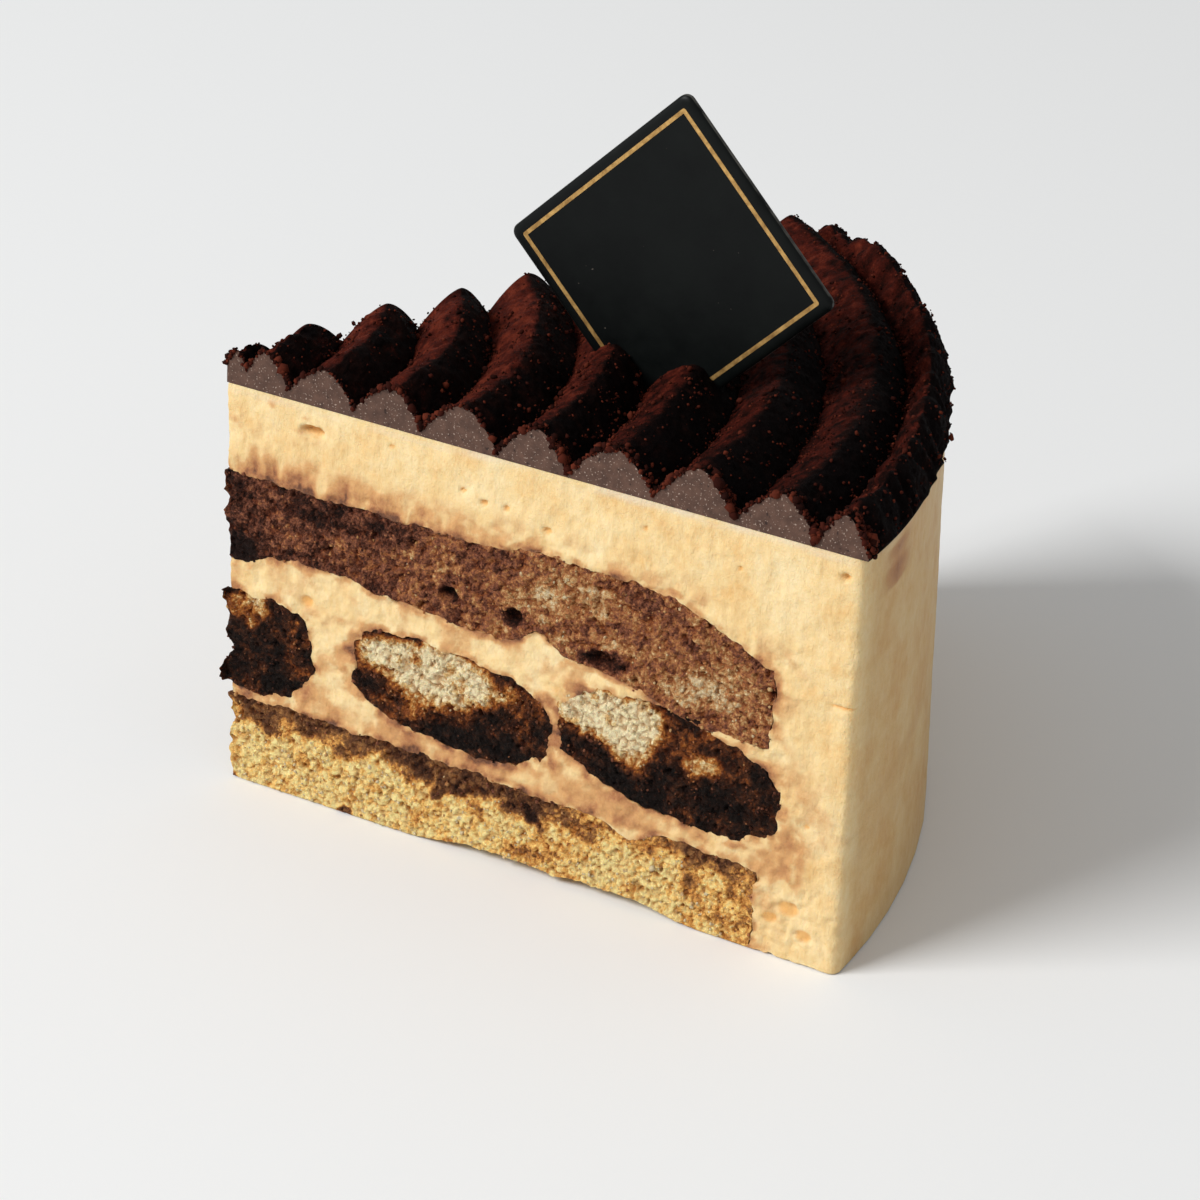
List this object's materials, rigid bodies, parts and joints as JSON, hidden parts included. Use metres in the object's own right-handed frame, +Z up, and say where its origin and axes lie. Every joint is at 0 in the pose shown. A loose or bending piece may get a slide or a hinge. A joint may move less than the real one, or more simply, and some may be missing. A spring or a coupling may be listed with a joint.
{
  "type": "tiramisu slice",
  "caption": "Wedge of layered tiramisu cake: cream with coffee sponge and ladyfingers at its cuts, piped ganache ridges dusted with cocoa on top, and a plain black card stuck in it",
  "frame": {"origin": "middle of the footprint's box, on the surface that the slice stands on", "axes": "+Z up; the front cut faces -Y with the slice's tip at its -X end and the rim at +X; the back cut leaves the tip towards +Y"},
  "size_m": [0.1018, 0.1082, 0.1076],
  "materials": {
    "cream": "smooth pale yellow mascarpone cream, softly moist",
    "coffee_sponge": "porous brown sponge soaked with coffee, moist",
    "plain_sponge": "pale yellow sponge crumb, its top soaked brown",
    "ladyfinger": "soaked finger biscuit, dark and wet with a paler dry core",
    "ganache": "piped chocolate ganache dusted with dark cocoa",
    "cocoa": "dry velvety cocoa powder and its crumbs",
    "card": "black satin laminated card",
    "foil": "thin gold foil line"
  },
  "bodies": {
    "root": {"cream_body": "cream", "sponge_top": "coffee_sponge", "sponge_bottom": "plain_sponge", "ladyfinger_1": "ladyfinger", "ladyfinger_2": "ladyfinger", "ladyfinger_3": "ladyfinger", "ganache_ridge_01": "ganache", "ganache_ridge_02": "ganache", "ganache_ridge_03": "ganache", "ganache_ridge_04": "ganache", "ganache_ridge_05": "ganache", "ganache_ridge_06": "ganache", "ganache_ridge_07": "ganache", "ganache_ridge_08": "ganache", "ganache_ridge_09": "ganache", "ganache_ridge_10": "ganache", "card": "card"}
  },
  "joints": []
}
